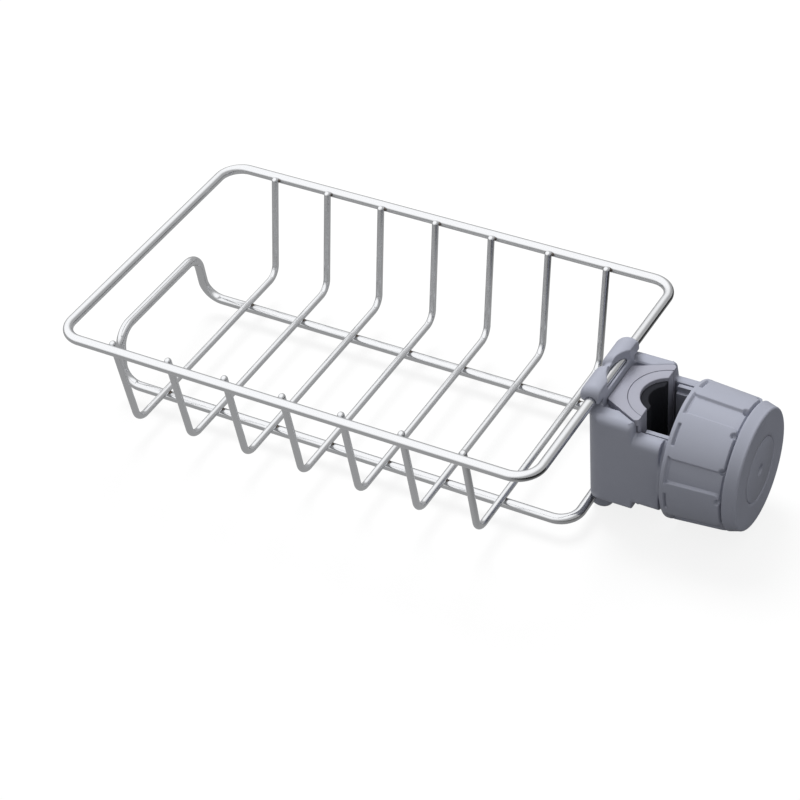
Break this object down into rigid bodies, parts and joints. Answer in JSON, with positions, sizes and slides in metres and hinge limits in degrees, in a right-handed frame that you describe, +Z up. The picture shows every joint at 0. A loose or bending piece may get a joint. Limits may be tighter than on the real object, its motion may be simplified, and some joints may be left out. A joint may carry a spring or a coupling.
{
  "type": "sponge holder",
  "caption": "Open wire basket for a sponge, snapped into a moulded clamp whose large ribbed knob tightens a thrust pad on a tap pipe.",
  "frame": {"origin": "on the axis of the clamped pipe, level with the knob's axis", "axes": "+Z up along the pipe, +X out of the knob and away from the basket, +Y away from the front"},
  "size_m": [0.2237, 0.11, 0.0498],
  "materials": {
    "steel_wire": "polished stainless wire",
    "body_plastic": "satin moulded plastic, grey",
    "pad_plastic": "satin moulded plastic, light grey",
    "grip_rubber": "moulded black rubber",
    "screw_steel": "bright zinc-plated steel"
  },
  "bodies": {
    "clamp": {"clamp_body": "body_plastic"},
    "basket": {"rim_wire": "steel_wire", "base_wire": "steel_wire", "cross_wire_1": "steel_wire", "cross_wire_2": "steel_wire", "cross_wire_3": "steel_wire", "cross_wire_4": "steel_wire", "cross_wire_5": "steel_wire", "cross_wire_6": "steel_wire", "cross_wire_7": "steel_wire"},
    "outer_pad": {"outer_pad": "pad_plastic"},
    "inner_pad": {"inner_pad": "pad_plastic", "grip_liner": "grip_rubber"},
    "thrust": {"thrust_block": "body_plastic", "thrust_pad": "grip_rubber", "retaining_screw": "screw_steel", "retaining_washer": "screw_steel"},
    "knob": {"knob_shell": "body_plastic", "knob_cap": "body_plastic"}
  },
  "joints": [
    {"name": "basket_slide", "type": "slide", "parent": "clamp", "child": "basket", "axis": [0, 1, 0], "range_m": [-0.0029, 0.0091]},
    {"name": "outer_pad_lift", "type": "slide", "parent": "clamp", "child": "outer_pad", "axis": [0, 0, 1], "range_m": [0, 0.043]},
    {"name": "inner_pad_lift", "type": "slide", "parent": "outer_pad", "child": "inner_pad", "axis": [0, 0, 1], "range_m": [0, 0.036]},
    {"name": "knob_travel", "type": "slide", "parent": "clamp", "child": "thrust", "axis": [1, 0, 0], "range_m": [-0.0015, 0.0165]},
    {"name": "knob_turn", "type": "hinge", "parent": "thrust", "child": "knob", "pos_m": [0.0186, 0, 0], "axis": [1, 0, 0], "range_deg": [-134, 1484]}
  ],
  "couplings": [
    {"joint": "knob_travel", "follows": "knob_turn", "m_per_rad": 0.00063662}
  ]
}
